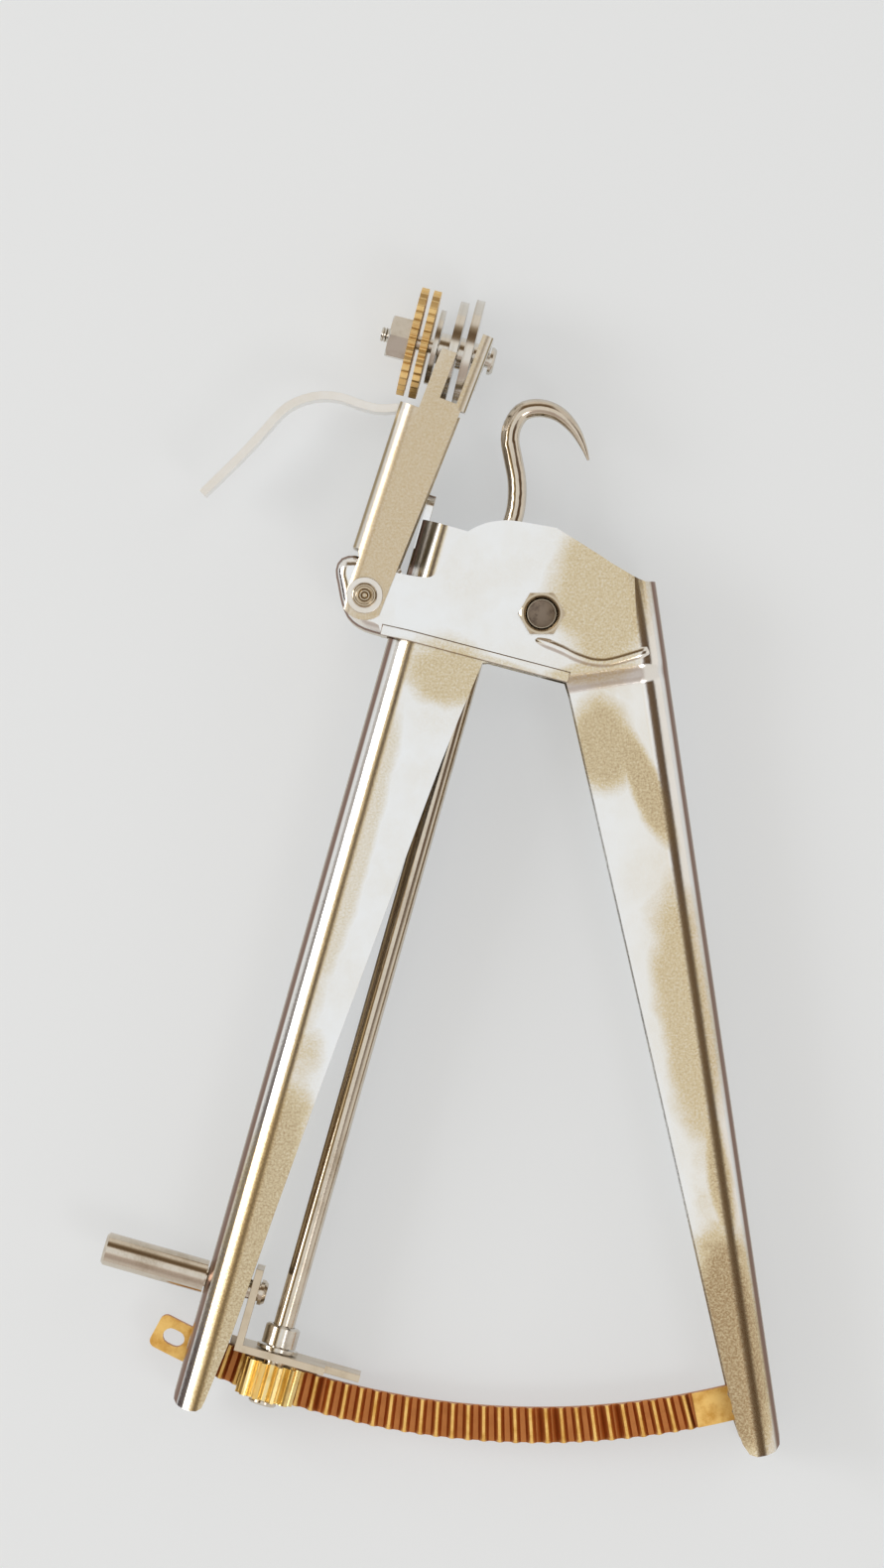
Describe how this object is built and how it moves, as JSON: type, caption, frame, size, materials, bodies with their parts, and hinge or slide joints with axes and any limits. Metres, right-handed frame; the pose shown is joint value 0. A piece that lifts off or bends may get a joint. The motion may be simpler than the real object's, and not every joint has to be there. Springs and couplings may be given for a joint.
{
  "type": "plant tying tool",
  "caption": "Hand pliers of folded sheet steel whose curved brass rack spins a twisting hook, with a sprung tie arm, toothed feed wheels and a reel pin.",
  "frame": {"origin": "middle of the underside of the bounding box, with the tool lying on its back", "axes": "+Y from the handle ends to the head, +Z from the back of the tool to the side with the pivot nut, +X to the lever side"},
  "size_m": [0.1354, 0.2326, 0.0271],
  "materials": {
    "nickel_plate": "nickel plated sheet, satin and warm",
    "steel": "plated turned steel",
    "spring_steel": "darker steel",
    "rack_brass": "cut brass, orange gold",
    "brass": "bright brass"
  },
  "bodies": {
    "handle": {"left_handle": "nickel_plate", "bearing_bracket": "steel", "lower_bush": "steel", "upper_bearing_plate": "steel", "upper_bush": "steel", "reel_pin": "nickel_plate", "pivot_bolt": "steel", "pivot_nut": "steel", "pivot_spacer": "steel", "main_spring": "spring_steel"},
    "lever": {"right_lever": "nickel_plate", "rack": "rack_brass", "rack_rivet_1": "steel", "rack_rivet_2": "steel", "arm_rivet": "steel", "arm_washer": "nickel_plate", "arm_spacer": "steel", "arm_spring": "spring_steel"},
    "spindle": {"hook_rod": "steel", "rod_collar": "steel", "pinion": "brass"},
    "arm": {"tie_arm": "nickel_plate", "guide_disc_1": "spring_steel", "guide_disc_2": "spring_steel", "wheel_axle": "steel", "wheel_nut": "steel", "wheel_spacer": "steel", "disc_spacer": "steel", "end_spacer": "steel"},
    "wheels": {"feed_wheel_1": "brass", "feed_wheel_2": "brass", "side_disc": "steel"}
  },
  "joints": [
    {"name": "squeeze", "type": "hinge", "parent": "handle", "child": "lever", "pos_m": [0.02018, 0.05082, 0.01315], "axis": [0, 0, -1], "range_deg": [0, 26], "stiffness_Nm_per_rad": 1.2, "springref_deg": -22.92, "deforming": ["main_spring"]},
    {"name": "hook_spin", "type": "hinge", "parent": "handle", "child": "spindle", "pos_m": [0.00998, 0.05371, 0.01415], "axis": [0.2731, 0.962, 0], "range_deg": [0, 842]},
    {"name": "tie_arm_swing", "type": "hinge", "parent": "lever", "child": "arm", "pos_m": [-0.01482, 0.05442, 0.01315], "axis": [0, 0, 1], "range_deg": [0, 32], "stiffness_Nm_per_rad": 0.05, "springref_deg": -22.92, "deforming": ["arm_spring"]},
    {"name": "wheel_spin", "type": "hinge", "parent": "arm", "child": "wheels", "pos_m": [-0.00532, 0.1054, 0.01315], "axis": [0.9699, -0.2436, 0], "continuous": true}
  ],
  "couplings": [
    {"joint": "hook_spin", "follows": "squeeze", "ratio": 32.351}
  ]
}
